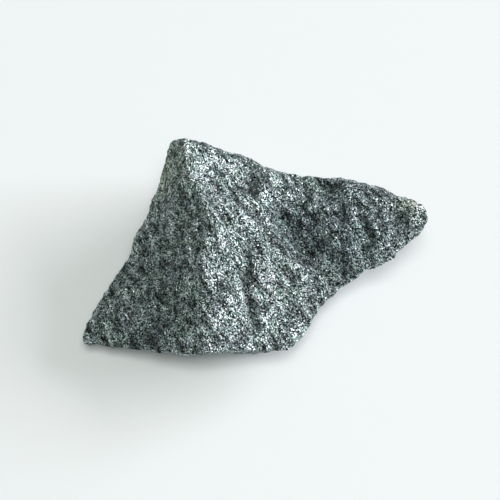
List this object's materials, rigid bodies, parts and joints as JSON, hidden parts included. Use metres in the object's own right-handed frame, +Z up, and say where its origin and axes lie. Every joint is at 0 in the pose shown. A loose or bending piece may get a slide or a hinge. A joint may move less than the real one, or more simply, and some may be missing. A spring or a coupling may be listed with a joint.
{
  "type": "magnetite specimen",
  "caption": "Broken lump of massive granular magnetite with a crest, a furrowed face, a lumpy wing and a flat underside to rest on.",
  "frame": {"origin": "middle of the lump's length and width, on the surface it rests on", "axes": "+X along the lump from its toe to its sharp end, +Y to its steep back, +Z up from its flat"},
  "size_m": [0.0656, 0.0452, 0.0207],
  "materials": {
    "magnetite": "dark grey broken surface of fine metallic grains that glitter one by one"
  },
  "bodies": {
    "root": {"magnetite_lump": "magnetite"}
  },
  "joints": []
}
